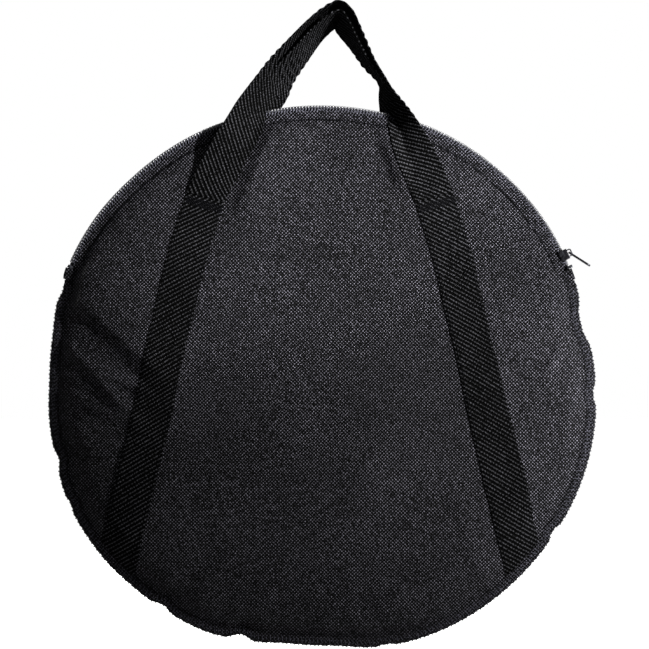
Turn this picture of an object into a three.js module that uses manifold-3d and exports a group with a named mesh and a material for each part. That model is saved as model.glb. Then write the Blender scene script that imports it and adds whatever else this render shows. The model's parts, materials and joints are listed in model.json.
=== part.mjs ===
// Collapsible backdrop panel, folded and zipped inside its round carry case.
// Units are millimetres, +Z is up, +X is to the right and -Y is the front.
// The shapes are laid out about the centre of the disc; the whole group is then
// moved so that the origin is the point where the two webbing handles hang.
import * as THREE from 'three';
import { mergeVertices } from 'three/addons/utils/BufferGeometryUtils.js';
import Module from 'manifold-3d';

const wasm = await Module();
wasm.setup();

// ---- driving dimensions -------------------------------------------------
const RIM_R = 316;            // outer radius of the case
const SEGMENTS = 72;          // facets round every ring of the case
const CLOTH = 1.2;            // wall of a case panel
const HALF_DEPTH = 24;        // centre plane to the flat outer face of a panel
const GAP = 0.3;              // clearance between touching pieces
const ZIP_END_DEG = 24.3;     // the zip runs over the top between these heights
const FLAP_Z = 151.9;         // fold line of the front flap
const SLIDER_DEG = 26.5;      // where the closed slider is parked
const SLIDER_HALF = 6;        // half length of the slider along the rim
const WEB_WIDTH = 45;         // strap webbing
const WEB_THICK = 1.6;
const SEWN_TOP_Z = 206;       // the straps are sewn down up to here
const HOOK = { x: 12, z: 408 };        // underside of the handles' apex
const PACK_DROP = 2;          // the folded hoop rests this much low
const HOOP_R = 284;           // mean radius of the hoop's three coils
const HOOP_COILS = 3;
const TOP = 1000;             // well outside the object, for cutting solids

const finish = (color, roughness, metalness = 0) =>
  new THREE.MeshStandardMaterial({ color, roughness, metalness });
const nylon = () => finish(0x2c2b30, 0.78);
const webbing = () => finish(0x1d1d20, 0.7);
const tapeCloth = () => finish(0x26262a, 0.75);
const coilPlastic = () => finish(0x141416, 0.45);
const gunmetal = () => finish(0x55565a, 0.38, 1);
const springSteel = () => finish(0x8d9094, 0.35, 1);
const backdropCloth = () => finish(0x1f2022, 0.9);

// ---- solids -------------------------------------------------------------
const rad = THREE.MathUtils.degToRad;

/** A closed three.js geometry as a solid for cutting and joining. */
function solid(geometry) {
  const bare = geometry.index ? geometry.clone() : geometry;
  bare.deleteAttribute('normal');
  bare.deleteAttribute('uv');
  const merged = mergeVertices(bare, 1e-4);
  return new wasm.Manifold(new wasm.Mesh({
    numProp: 3,
    vertProperties: Float32Array.from(merged.attributes.position.array),
    triVerts: Uint32Array.from(merged.index.array),
  }));
}

/** A solid's surface as a three.js geometry. */
function toGeometry(body) {
  const mesh = body.getMesh();
  const geometry = new THREE.BufferGeometry();
  geometry.setAttribute('position', new THREE.BufferAttribute(mesh.vertProperties, 3));
  geometry.setIndex(new THREE.BufferAttribute(mesh.triVerts, 1));
  geometry.computeVertexNormals();
  return geometry;
}

function box(x0, x1, y0, y1, z0, z1) {
  const geometry = new THREE.BoxGeometry(x1 - x0, y1 - y0, z1 - z0);
  geometry.translate((x0 + x1) / 2, (y0 + y1) / 2, (z0 + z1) / 2);
  return solid(geometry);
}

const above = (z) => box(-TOP, TOP, -TOP, TOP, z, TOP);
const below = (z) => box(-TOP, TOP, -TOP, TOP, -TOP, z);

/** A ring or disc turned about the disc's axis (Y) from [radius, y] points. */
function turned(profile, segments = SEGMENTS) {
  const points = profile.map(([r, y]) => new THREE.Vector2(r, y));
  const body = solid(new THREE.LatheGeometry(points, segments));
  return body.volume() < 0 ? turned([...profile].reverse(), segments) : body;
}

const closed = (profile) => [...profile, profile[0]];
const mirrored = (profile) => profile.map(([r, y]) => [r, -y]).reverse();

/** A flat outline in the disc's plane (X, Z), extruded from y0 to y1. */
function plate(outline, y0, y1) {
  const shape = new THREE.Shape(outline.map(([x, z]) => new THREE.Vector2(x, z)));
  const geometry = new THREE.ExtrudeGeometry(shape, { depth: y1 - y0, bevelEnabled: false });
  geometry.rotateX(Math.PI / 2);
  geometry.translate(0, y1, 0);
  return solid(geometry);
}

/** The wedge of space between two angles, measured up from +X in the disc. */
function wedge(fromDeg, toDeg) {
  const steps = 8;
  const outline = [[0, 0]];
  for (let i = 0; i <= steps; i += 1) {
    const a = rad(THREE.MathUtils.lerp(fromDeg, toDeg, i / steps));
    outline.push([TOP * Math.cos(a), TOP * Math.sin(a)]);
  }
  return plate(outline, -TOP / 2, TOP / 2);
}

/** Both sides of a centreline, as one closed outline of a given width. */
function ribbon(centre, widths) {
  const left = [];
  const right = [];
  centre.forEach(([x, z], i) => {
    const [ax, az] = centre[Math.max(i - 1, 0)];
    const [bx, bz] = centre[Math.min(i + 1, centre.length - 1)];
    const length = Math.hypot(bx - ax, bz - az);
    const half = (Array.isArray(widths) ? widths[i] : widths) / 2;
    const nx = (-(bz - az) / length) * half;
    const nz = ((bx - ax) / length) * half;
    left.push([x + nx, z + nz]);
    right.unshift([x - nx, z - nz]);
  });
  return [...left, ...right];
}

// ---- assembly helpers ---------------------------------------------------
const backdrop = new THREE.Group();
backdrop.position.set(-HOOK.x, 0, -HOOK.z);

function addNode(name, geometry, material, parent = backdrop) {
  const mesh = new THREE.Mesh(geometry, material);
  mesh.name = name;
  parent.add(mesh);
  return mesh;
}

const addSolid = (name, body, material) => addNode(name, toGeometry(body), material);

// ---- case panels --------------------------------------------------------
// Half profile, front or back: a flat face, a rounded shoulder and a seam
// allowance that lies against its partner in the middle plane.
const outerFace = [[0, HALF_DEPTH], [150, HALF_DEPTH], [262, HALF_DEPTH], [285, 20], [298, 10],
  [304, 1.6]];
const innerFace = [[303.2, GAP], [297, 9.2], [284.4, 18.9], [261.8, HALF_DEPTH - CLOTH],
  [0, HALF_DEPTH - CLOTH]];
const backProfile = [...outerFace, [313, 1.6], [313, GAP], ...innerFace];
const MOUTH_R = 300;          // the panels stop here along the zip

const zipArc = wedge(ZIP_END_DEG, 180 - ZIP_END_DEG);
const mouth = turned(closed([[MOUTH_R, -TOP / 20], [RIM_R + 9, -TOP / 20], [RIM_R + 9, TOP / 20],
  [MOUTH_R, TOP / 20]]));
const backShell = turned(backProfile);
const frontShell = turned(mirrored(backProfile));

addSolid('back_panel', backShell.subtract(mouth.intersect(zipArc)), nylon());
addSolid('front_panel', frontShell.intersect(below(FLAP_Z - GAP)), nylon());
addSolid('front_flap', frontShell.subtract(mouth).intersect(above(FLAP_Z + GAP)), nylon());

// ---- rim: binding, zip tapes, coils, stops and end tabs ------------------
/** A U-shaped clip round the rim: outer radius, half width, leg length. */
function rimClip(innerR, outerR, half, chamfer) {
  const slot = 2;
  const slotR = 313.4;
  return turned(closed([
    [innerR, slot], [slotR, slot], [slotR, -slot], [innerR, -slot], [innerR, -half],
    [outerR - chamfer, -half], [outerR, chamfer - half], [outerR, half - chamfer],
    [outerR - chamfer, half], [innerR, half],
  ]));
}

const END_TAB_DEG = [21.2, 23.3];
const STOP_DEG = [23.5, 24.1];
const mirrorAngles = ([a, b]) => [180 - b, 180 - a];
addSolid('seam_binding', rimClip(305.5, RIM_R, 3.2, 1).intersect(wedge(159.1, 270)
  .add(wedge(270, 380.9))), webbing());

const tapeProfile = closed([[300.4, 4.7], [311.6, 0.5], [311.6, 1.7], [300.4, 5.9]]);
const coilProfile = closed([[312, GAP], [RIM_R, GAP], [RIM_R, 2.4], [315, 3.2], [313, 3.2],
  [312, 2.6]]);
const flapSpace = above(FLAP_Z + GAP);
addSolid('zip_back_tape', turned(tapeProfile).intersect(zipArc), tapeCloth());
addSolid('zip_back_coil', turned(coilProfile).intersect(zipArc), coilPlastic());
addSolid('zip_front_tape', turned(mirrored(tapeProfile)).intersect(flapSpace), tapeCloth());
addSolid('zip_front_coil', turned(mirrored(coilProfile)).intersect(flapSpace), coilPlastic());

const sides = [['right', (pair) => pair], ['left', mirrorAngles]];
for (const [side, place] of sides) {
  addSolid(`zip_stop_${side}`, rimClip(310.5, 317.2, 3.8, 0.8).intersect(wedge(...place(STOP_DEG))),
    gunmetal());
  addSolid(`zip_end_tab_${side}`, rimClip(305.1, 317, 3.8, 1.2)
    .intersect(wedge(...place(END_TAB_DEG))), webbing());
}

// ---- zip slider and pull tab ---------------------------------------------
// Built about the slider's own place on the rim: X outward, Z along the rim.
const PLATE_R = 317;          // underside of the slider's outer plate
const PLATE_THICK = 1.6;
const FLANGE = { from: 308.5, inner: 4.2, outer: 5.5 };
const BRIDGE = { half: 1, inner: 3, outer: 4.5, clear: 3.5, roof: 1.5 };
const TAB = { width: 8, thick: 1.6, length: 28, bar: 0.8, slotHalf: 1.6, slotEnd: 6.6 };
const TAB_REST_DEG = -32.6;   // the tab points this far below the horizontal

function sliderBody() {
  const outerR = PLATE_R + PLATE_THICK;
  let body = box(PLATE_R, outerR, -FLANGE.outer, FLANGE.outer, -SLIDER_HALF, SLIDER_HALF);
  for (const side of [-1, 1]) {
    const edges = [side * FLANGE.inner, side * FLANGE.outer].sort((a, b) => a - b);
    body = body.add(box(FLANGE.from, outerR, ...edges, -SLIDER_HALF, SLIDER_HALF));
  }
  const arch = plate([
    [outerR - 0.5, -BRIDGE.outer], [outerR + BRIDGE.clear, -BRIDGE.outer],
    [outerR + BRIDGE.clear + BRIDGE.roof, -BRIDGE.inner],
    [outerR + BRIDGE.clear + BRIDGE.roof, BRIDGE.inner],
    [outerR + BRIDGE.clear, BRIDGE.outer], [outerR - 0.5, BRIDGE.outer],
    [outerR - 0.5, BRIDGE.inner], [outerR + BRIDGE.clear, BRIDGE.inner],
    [outerR + BRIDGE.clear, -BRIDGE.inner], [outerR - 0.5, -BRIDGE.inner],
  ], -BRIDGE.half, BRIDGE.half);
  return body.add(arch);
}

/** The tab runs along +X from its hinge bar at the origin. */
function tabBody() {
  const half = TAB.width / 2;
  const shape = new THREE.Shape();
  shape.moveTo(-TAB.bar, -half + 1);
  shape.lineTo(TAB.slotEnd, -half + 1);
  shape.lineTo(TAB.length - half, -half);
  shape.absarc(TAB.length - half, 0, half, -Math.PI / 2, Math.PI / 2, false);
  shape.lineTo(TAB.slotEnd, half - 1);
  shape.lineTo(-TAB.bar, half - 1);
  const slot = new THREE.Path();
  slot.moveTo(TAB.bar, -TAB.slotHalf);
  slot.lineTo(TAB.slotEnd, -TAB.slotHalf);
  slot.lineTo(TAB.slotEnd, TAB.slotHalf);
  slot.lineTo(TAB.bar, TAB.slotHalf);
  const grip = new THREE.Path();
  grip.absarc(TAB.length - half - 0.5, 0, 1.8, 0, Math.PI * 2, true);
  shape.holes.push(slot, grip);
  const geometry = new THREE.ExtrudeGeometry(shape, {
    depth: TAB.thick, bevelEnabled: false, curveSegments: 10,
  });
  geometry.translate(0, 0, -TAB.thick / 2);
  return solid(geometry);
}

const slider = new THREE.Group();
slider.rotation.y = -rad(SLIDER_DEG);
backdrop.add(slider);
addNode('zip_slider', toGeometry(sliderBody()), gunmetal(), slider);

const tabHinge = new THREE.Group();
tabHinge.position.x = PLATE_R + PLATE_THICK + BRIDGE.clear / 2 + 0.05;
tabHinge.rotation.y = rad(SLIDER_DEG - TAB_REST_DEG);
slider.add(tabHinge);
addNode('zip_pull_tab', toGeometry(tabBody()), gunmetal(), tabHinge);

// ---- webbing straps sewn on the panels ------------------------------------
// Each strap lies on its panel, so it is the part of a skin over the panel
// that falls inside the strap's outline.
const skinProfile = [[0, HALF_DEPTH + GAP + WEB_THICK], [262.4, HALF_DEPTH + GAP + WEB_THICK],
  [286, 21.6], [299.8, 11], [298.3, 10.3], [285.2, 20.3], [262.1, HALF_DEPTH + GAP],
  [0, HALF_DEPTH + GAP]];
const backSkin = turned(skinProfile);
const frontSkin = turned(mirrored(skinProfile));
const strapCentre = [[131, 206], [166, 77], [191, -36], [206, -107], [226, -235]];
const sewn = below(SEWN_TOP_Z);
const BARTACK = { z0: 192, z1: 202, thick: 0.8, proud: 26.2 };

for (const [side, sign] of [['left', -1], ['right', 1]]) {
  const centre = strapCentre.map(([x, z]) => [sign * x, z]);
  const outline = plate(ribbon([[sign * 126, 224], ...centre], WEB_WIDTH), -TOP / 10, TOP / 10);
  const front = outline.intersect(frontSkin).intersect(sewn);
  addSolid(`strap_front_lower_${side}`, front.intersect(below(FLAP_Z - GAP)), webbing());
  addSolid(`strap_front_upper_${side}`, front.intersect(above(FLAP_Z + GAP)), webbing());
  addSolid(`strap_back_${side}`, outline.intersect(backSkin).intersect(sewn), webbing());
  const patch = outline.intersect(box(-TOP, TOP, BARTACK.proud, BARTACK.proud + BARTACK.thick,
    BARTACK.z0, BARTACK.z1));
  addSolid(`bartack_back_${side}`, patch, webbing());
  addSolid(`bartack_front_${side}`, patch.translate([0, -2 * BARTACK.proud - BARTACK.thick, 0]),
    webbing());
}

// ---- handles: the free run of each strap, up over the hook ----------------
// Each stop is [x, z, width seen from the front]: the left run narrows as it
// folds towards the apex, and the right run twists until it is nearly edge-on.
const handleRun = [
  [-125, 190, 45], [-115, 226, 45], [-101, 261, 44], [-73, 314, 43], [-48, 351, 40],
  [-27, 378, 34], [-4, 406, 24], [16, 421, 22], [30, 406, 26], [40, 387, 22], [57, 360, 16],
  [69, 341, 12], [80, 323, 18], [92, 300, 30], [104, 279, 38], [113, 261, 43], [123, 226, 45],
  [133, 190, 45],
];
const HANDLE = { flat: 25.9, apexY: 5.2, leanFrom: 268, apexZ: 440, thick: 2.4 };

/** The handle's side view, as [y, z]: flat on the case, then leaning in. */
function handleSide(sign) {
  const { flat, apexY, leanFrom, apexZ, thick } = HANDLE;
  const outline = [[flat, SEWN_TOP_Z + GAP], [flat, leanFrom], [apexY, apexZ],
    [apexY - thick, apexZ], [flat - WEB_THICK, leanFrom - 3], [flat - WEB_THICK, SEWN_TOP_Z + GAP]];
  const shape = new THREE.Shape(outline.map(([y, z]) => new THREE.Vector2(sign * y, z)));
  const geometry = new THREE.ExtrudeGeometry(shape, { depth: TOP, bevelEnabled: false });
  geometry.translate(0, 0, -TOP / 2);
  geometry.rotateX(Math.PI / 2);
  geometry.rotateZ(Math.PI / 2);
  return solid(geometry);
}

for (const [name, sign] of [['front_handle', -1], ['back_handle', 1]]) {
  const widths = handleRun.map(([, , width]) => width);
  const outline = plate(ribbon(handleRun, widths), -TOP / 10, TOP / 10);
  addSolid(name, outline.intersect(handleSide(sign)), webbing());
}

// ---- the folded backdrop inside -------------------------------------------
/** The closed hoop, twisted into three coils that wind round each other. */
class FoldedHoop extends THREE.Curve {
  constructor(fromTurn, toTurn) {
    super();
    this.span = [fromTurn, toTurn];
  }

  getPoint(t, target = new THREE.Vector3()) {
    const spread = { radial: 5, across: 9.5 };
    const angle = 2 * Math.PI * THREE.MathUtils.lerp(...this.span, t);
    const weave = angle / HOOP_COILS;
    const r = HOOP_R + spread.radial * Math.sin(weave);
    return target.set(r * Math.cos(angle), spread.across * Math.cos(weave),
      r * Math.sin(angle) - PACK_DROP);
  }
}

/** A section swept along the hoop; its X lies across the disc. */
function alongHoop(outline, fromTurn, toTurn, steps) {
  const shape = new THREE.Shape(outline.map(([x, y]) => new THREE.Vector2(x, y)));
  return new THREE.ExtrudeGeometry(shape, {
    steps, bevelEnabled: false, extrudePath: new FoldedHoop(fromTurn, toTurn),
  });
}

const rectangle = (w, h) => [[-w / 2, -h / 2], [w / 2, -h / 2], [w / 2, h / 2], [-w / 2, h / 2]];
const sleeveOutline = [[-4, 3.25], [-4, -3.25], [-1, -3.25], [-1, -2.25], [-3, -2.25], [-3, 2.25],
  [3, 2.25], [3, -2.25], [1, -2.25], [1, -3.25], [4, -3.25], [4, 3.25]];
addNode('hoop_sleeve', alongHoop(sleeveOutline, 0.012, HOOP_COILS - 0.012, 108), backdropCloth());
addNode('hoop_band', alongHoop(rectangle(4.5, 1), 0.001, HOOP_COILS - 0.001, 108), springSteel());

const joinY = 9.5;
const ferrule = box(HOOP_R - 2.1, HOOP_R + 2.1, joinY - 3.4, joinY + 3.4, -6, 6)
  .subtract(box(HOOP_R - 1.5, HOOP_R + 1.5, joinY - 2.7, joinY + 2.7, -7, 7));
addSolid('hoop_ferrule', ferrule.translate([0, 0, -PACK_DROP]), springSteel());

const LEAF = { r: 271, half: 6.4, pitch: 13.6 };
const leafProfile = [[0, LEAF.half], [240, LEAF.half], [262, 4.6], [LEAF.r, 1.4], [LEAF.r, -1.4],
  [262, -4.6], [240, -LEAF.half], [0, -LEAF.half]];
['front', 'middle', 'back'].forEach((place, i) => {
  const leaf = turned(leafProfile, 48);
  addSolid(`cloth_leaf_${place}`, leaf.translate([0, (i - 1) * LEAF.pitch, -PACK_DROP]),
    backdropCloth());
});

const loop = box(-9, 9, -1.6, 1.6, 290.8, 298.4).subtract(box(-6, 6, -3, 3, 293, 296.6));
addSolid('pack_pull_loop', loop, webbing());

export default backdrop;
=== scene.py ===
"""Looks for the folded backdrop panel in its round zipped carry case.

Every piece is made about the centre of the case's disc and then stands in the
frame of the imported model: metres, +X to the right, -Y the front and +Z up.
"""
import json
import logging
import math
from collections.abc import Callable, Sequence
from dataclasses import dataclass
from enum import Enum

import bpy
import numpy as np
from mathutils import Euler, Matrix, Vector, noise


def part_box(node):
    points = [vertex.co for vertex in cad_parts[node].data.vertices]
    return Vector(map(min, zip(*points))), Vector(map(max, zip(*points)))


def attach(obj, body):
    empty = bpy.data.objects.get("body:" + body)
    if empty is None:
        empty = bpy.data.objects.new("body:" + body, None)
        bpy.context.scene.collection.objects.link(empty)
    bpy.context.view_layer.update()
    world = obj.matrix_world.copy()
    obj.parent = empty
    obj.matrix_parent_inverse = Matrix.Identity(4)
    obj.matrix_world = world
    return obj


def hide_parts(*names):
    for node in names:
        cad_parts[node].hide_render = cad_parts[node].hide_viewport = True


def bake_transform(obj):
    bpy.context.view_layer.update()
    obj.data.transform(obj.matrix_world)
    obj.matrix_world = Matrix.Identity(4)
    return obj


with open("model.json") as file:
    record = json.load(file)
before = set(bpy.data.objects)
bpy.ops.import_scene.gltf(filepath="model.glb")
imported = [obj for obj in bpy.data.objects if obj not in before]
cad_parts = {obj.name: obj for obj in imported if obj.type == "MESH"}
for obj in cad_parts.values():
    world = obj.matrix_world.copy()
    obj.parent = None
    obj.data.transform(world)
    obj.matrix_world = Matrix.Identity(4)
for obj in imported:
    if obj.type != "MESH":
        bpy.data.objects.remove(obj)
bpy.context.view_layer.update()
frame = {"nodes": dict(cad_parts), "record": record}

LOG = logging.getLogger("backdrop_case")
MM = 0.001

JOINTS = {joint["name"]: joint for joint in frame["record"]["behaviour"]["joints"]}
CENTRE = Vector(JOINTS["zip_run"]["pos_m"])
MIDDLE = np.array(CENTRE)
RIM = (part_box("seam_binding")[1].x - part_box("seam_binding")[0].x) / 2 / MM
HALF_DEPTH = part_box("back_panel")[1].y / MM
ZIP_END = 24.3          # degrees above the horizontal where the zip ends, each side
WEB = 45.0              # width of the webbing, mm
RIB, BEAD = 4.2, 3.4    # spacing of the webbing's ribs and of the yarn beads along them, mm
RIB_WAY = (0.67, 0.74)  # the ribs' direction across and along the webbing

Array = np.ndarray
Triple = tuple[float, float, float]


class Side(Enum):
    """The face of the case that a piece belongs to, as the sign of Y."""

    FRONT = -1
    BACK = 1

    @property
    def word(self) -> str:
        """The face's word in piece names."""
        return self.name.lower()


class Hand(Enum):
    """The half of the case that a piece belongs to, as the sign of X."""

    LEFT = -1
    RIGHT = 1


# ---- Finishes ----
def linear(code: str) -> tuple[float, float, float, float]:
    """Turns an sRGB hex colour, such as "2a2a2e", into linear RGBA."""
    parts = [int(code[i:i + 2], 16) / 255 for i in (0, 2, 4)]
    red, green, blue = (c / 12.92 if c <= 0.04045 else ((c + 0.055) / 1.055) ** 2.4
                        for c in parts)
    return (red, green, blue, 1.0)


class Surface:
    """A node material in the making: an output, a Principled shader and what feeds it."""

    def __init__(self, name: str) -> None:
        """Starts the material under its name."""
        self.material = bpy.data.materials.new(name)
        self.material.use_nodes = True
        self.tree = self.material.node_tree
        self.tree.nodes.clear()
        self.shader = self.add("BsdfPrincipled", {})
        self.add("OutputMaterial", {"Surface": self.shader})
        self.place = self.add("TexCoord", {}).outputs["Object"]

    def fill(self, node: bpy.types.Node, inputs: dict) -> None:
        """Sets or links a node's inputs.

        Args:
            node: The node.
            inputs: Input name or index to a value, an output socket, or a node
                whose first output is linked.
        """
        for key, value in inputs.items():
            if isinstance(value, bpy.types.Node):
                value = value.outputs[0]
            if isinstance(value, bpy.types.NodeSocket):
                self.tree.links.new(value, node.inputs[key])
            else:
                node.inputs[key].default_value = value

    def add(self, kind: str, inputs: dict, **settings: object) -> bpy.types.Node:
        """Adds one shader node with its settings and links.

        Args:
            kind: The node's type name, after ShaderNode.
            inputs: What fill takes.
            **settings: Attributes of the node.

        Returns:
            The new node.
        """
        node = self.tree.nodes.new(f"ShaderNode{kind}")
        for name, value in settings.items():
            setattr(node, name, value)
        self.fill(node, inputs)
        return node

    def wave(self, source: bpy.types.NodeSocket, way: Triple, period: float) -> bpy.types.Node:
        """Adds a sine wave along one direction of a coordinate.

        Args:
            source: The coordinate, in metres.
            way: The direction.
            period: The wave's length, mm.

        Returns:
            The node whose output swings between -1 and 1.
        """
        rate = Vector(way) * (2 * math.pi / (period * MM))
        phase = self.add("VectorMath", {0: source, 1: rate}, operation="DOT_PRODUCT")
        return self.add("Math", {0: phase.outputs["Value"]}, operation="SINE")

    def layered(self, base: object, *patterns: tuple[object, float]) -> object:
        """Adds patterns to a base, one after another.

        Args:
            base: The node or socket to start from.
            *patterns: Each pattern, or 1.0 for a plain shift, with its share.

        Returns:
            The last node.
        """
        for pattern, share in patterns:
            base = self.add("Math", {0: pattern, 1: share, 2: base}, operation="MULTIPLY_ADD")
        return base

    def colour(self, shade: object, *stops: tuple[float, str]) -> None:
        """Colours the surface by a shade, through stops of place and sRGB hex."""
        ramp = self.add("ValToRGB", {"Fac": shade})
        elements = ramp.color_ramp.elements
        while len(elements) < len(stops):
            elements.new(0.5)
        for element, (place, code) in zip(elements, stops):
            element.position = place
            element.color = linear(code)
        self.fill(self.shader, {"Base Color": ramp})

    def finish(self, height: object, strength: float, depth: float,
               **values: float) -> bpy.types.Material:
        """Gives the surface its bump and its plain values.

        Args:
            height: What stands out.
            strength: The bump's strength.
            depth: The bump's depth, mm.
            **values: Shader inputs by name, with underscores for spaces.

        Returns:
            The material.
        """
        bump = self.add("Bump", {"Height": height, "Strength": strength,
                                 "Distance": depth * MM})
        self.fill(self.shader, {"Normal": bump} | {key.replace("_", " "): value
                                                   for key, value in values.items()})
        return self.material


@dataclass(frozen=True)
class CaseCloth:
    """Coated woven nylon: a real plain weave whose light thread specks are painted into the colour
    as the threads' glints, a painted highlight speckle.
    """

    name: str = "case_nylon_600_denier_woven"
    # light: the colour of the brightest thread specks, a painted highlight for the weave's glints
    light: str = "37363b"
    pitch: float = 4.0     # mm; real threads are 0.5 mm apart, drawn coarser so they show

    def make(self) -> bpy.types.Material:
        """Builds the material."""
        surface = Surface(self.name)
        over = surface.wave(surface.place, (1, 0, 0), self.pitch)
        under = surface.wave(surface.place, (0, 0, 1), self.pitch)
        weave = surface.add("Math", {0: over, 1: under}, operation="MULTIPLY")
        slub = surface.add("TexNoise", {"Vector": surface.place, "Scale": 600.0, "Detail": 2.0,
                                        "Roughness": 0.8}).outputs["Fac"]
        cloud = surface.add("TexNoise", {"Vector": surface.place, "Scale": 9.0, "Detail": 4.0,
                                         "Roughness": 0.55}).outputs["Fac"]
        thread = surface.layered(slub, (weave, 0.28))
        shade = surface.layered(thread, (cloud, 0.12), (1.0, -0.06))
        # The light stop paints the threads' glints into the colour: painted highlight speckle over
        # the real weave.
        surface.colour(shade, (0.52, "010101"), (0.64, "060607"), (0.84, self.light))
        return surface.finish(thread, 0.9, 2.2, Roughness=0.45, Specular_IOR_Level=0.01)


@dataclass(frozen=True)
class RibbedWebbing:
    """Polypropylene webbing: coarse diagonal ribs of beaded yarn, with painted shade in the grooves
    and painted highlights on the crowns.

    The ribs stand in the mesh too; the material paints each yarn bead's shade and highlight from its
    height.
    """

    name: str
    lean: int                  # +1 where the ribs rise along U, -1 where they fall

    def make(self) -> bpy.types.Material:
        """Builds the material."""
        surface = Surface(self.name)
        uv = surface.add("UVMap", {}, uv_map="UVMap").outputs["UV"]
        over, along = RIB_WAY
        rib = surface.wave(uv, (over * self.lean, along, 0), RIB)
        bead = surface.wave(uv, (along, -over * self.lean, 0), BEAD)
        fuzz = surface.add("TexNoise", {"Vector": surface.place, "Scale": 700.0,
                                        "Detail": 2.0}).outputs["Fac"]
        cloud = surface.add("TexNoise", {"Vector": surface.place, "Scale": 14.0,
                                         "Detail": 3.0}).outputs["Fac"]
        height = surface.layered(fuzz, (rib, 0.28), (bead, 0.07))
        shade = surface.layered(height, (1.0, -0.1), (cloud, 0.2))
        # Colour follows rib height: painted shade in the grooves, painted highlight on the crowns.
        surface.colour(shade, (0.52, "010101"), (0.68, "060606"), (0.93, "1d1d1f"))
        return surface.finish(height, 0.9, 1.6, Roughness=0.6, Specular_IOR_Level=0.0)


@dataclass(frozen=True)
class FineCloth:
    """A plain dyed textile or thread: fine threads, slight blotches, no gloss."""

    name: str
    dark: str
    light: str
    thread: float = 0.8        # mm; the bands lie 2.3 times this apart, coarser than real
                               # thread, so that they show
    rough: float = 0.5
    bump: float = 0.5
    blotch_scale: float = 12.0

    def make(self) -> bpy.types.Material:
        """Builds the material."""
        surface = Surface(self.name)
        threads = surface.add("TexWave",
                              {"Vector": surface.place, "Scale": 1 / (self.thread * MM) / 6.28,
                               "Distortion": 1.4, "Detail": 2.0, "Detail Scale": 3.0},
                              wave_type="BANDS", bands_direction="DIAGONAL").outputs["Fac"]
        fuzz = surface.add("TexNoise", {"Vector": surface.place, "Scale": 900.0,
                                        "Detail": 2.0}).outputs["Fac"]
        blotch = surface.add("TexNoise", {"Vector": surface.place, "Detail": 4.0,
                                          "Scale": self.blotch_scale}).outputs["Fac"]
        height = surface.layered(fuzz, (threads, 0.3))
        shade = surface.layered(height, (1.0, -0.35), (blotch, 0.4))
        surface.colour(shade, (0.2, self.dark), (0.8, self.light))
        return surface.finish(height, self.bump, 0.4, Roughness=self.rough,
                              Specular_IOR_Level=0.0)


@dataclass(frozen=True)
class HardFinish:
    """Coil plastic, plated zinc or spring steel: smooth, with faint wear that varies its gloss."""

    name: str
    colour: str
    worn: str
    metallic: float
    rough: tuple[float, float]
    grain_scale: float = 260.0

    def make(self) -> bpy.types.Material:
        """Builds the material."""
        surface = Surface(self.name)
        grain = surface.add("TexNoise", {"Vector": surface.place, "Detail": 6.0,
                                         "Scale": self.grain_scale}).outputs["Fac"]
        marks = surface.add("TexNoise", {"Vector": surface.place, "Detail": 3.0, "Distortion": 1.5,
                                         "Scale": self.grain_scale * 0.3}).outputs["Fac"]
        surface.colour(marks, (0.45, self.colour), (0.72, self.worn))
        gloss = surface.add("MapRange", {"Value": grain, "From Min": 0.3, "From Max": 0.7,
                                         "To Min": self.rough[0], "To Max": self.rough[1]})
        surface.fill(surface.shader, {"Roughness": gloss})
        return surface.finish(grain, 0.15, 0.2, Metallic=self.metallic)


class Finishes:
    """Every finish of the object, made once."""

    def __init__(self) -> None:
        """Builds the materials."""
        self.nylon = CaseCloth().make()
        self.web_rise = RibbedWebbing("webbing_polypropylene_ribs_rising", 1).make()
        self.web_fall = RibbedWebbing("webbing_polypropylene_ribs_falling", -1).make()
        # A plain tape, a little darker than the case, with the same painted glint speckle.
        self.binding = CaseCloth("binding_woven_nylon_tape", "2e2d32").make()
        # As matt as the case and a touch lighter, with the same painted glint speckle.
        self.tape = CaseCloth("zip_tape_woven_polyester", "3b3a40").make()
        # Tight black thread, which reads as a dark line; along the zip hem its thick stitches also
        # draw the seam's shadow, a painted shade.
        self.thread = FineCloth("sewing_thread_bonded_nylon", "000000", "060607").make()
        # Rubbed lighter on the rim, so that each stitch shows.
        self.rim_thread = FineCloth("whipping_thread_bonded_nylon", "060607", "1e1e22").make()
        # Grey thread; it lines the coil with small light bars.
        self.pale_thread = FineCloth("overlock_thread_worn_polyester", "0c0c0e",
                                     "36363c").make()
        # A brushed nap: soft, even and quite without shine.
        self.backdrop = FineCloth("backdrop_cloth_brushed_muslin", "0e0e10", "26272b", 2.2,
                                  rough=0.9, bump=0.3, blotch_scale=6.0).make()
        # Hard smooth plastic, with a small glint on each loop.
        self.coil = HardFinish("zip_coil_polyester_monofilament", "0d0d0f", "1c1c1f", 0.0,
                               (0.3, 0.5)).make()
        # Dark plated metal, brighter where it is rubbed.
        self.gunmetal = HardFinish("zip_slider_zinc_gunmetal_plated", "121214", "36373b", 1.0,
                                   (0.25, 0.45)).make()
        # A cold grey metal with worn lighter patches.
        self.steel = HardFinish("hoop_spring_steel_blued", "4d535b", "8d9298", 1.0,
                                (0.22, 0.42)).make()


# ---- Mesh helpers ----
def deselect_all() -> None:
    """Leaves nothing selected and the scene in object mode."""
    if bpy.context.object and bpy.context.object.mode != "OBJECT":
        bpy.ops.object.mode_set(mode="OBJECT")
    bpy.ops.object.select_all(action="DESELECT")


def pick(piece: bpy.types.Object) -> None:
    """Leaves one piece selected and active."""
    deselect_all()
    piece.select_set(True)
    bpy.context.view_layer.objects.active = piece


def coordinates(piece: bpy.types.Object) -> Array:
    """Reads a mesh's vertex places as an N by 3 array, in metres."""
    flat = np.empty(len(piece.data.vertices) * 3)
    piece.data.vertices.foreach_get("co", flat)
    return flat.reshape(-1, 3)


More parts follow.
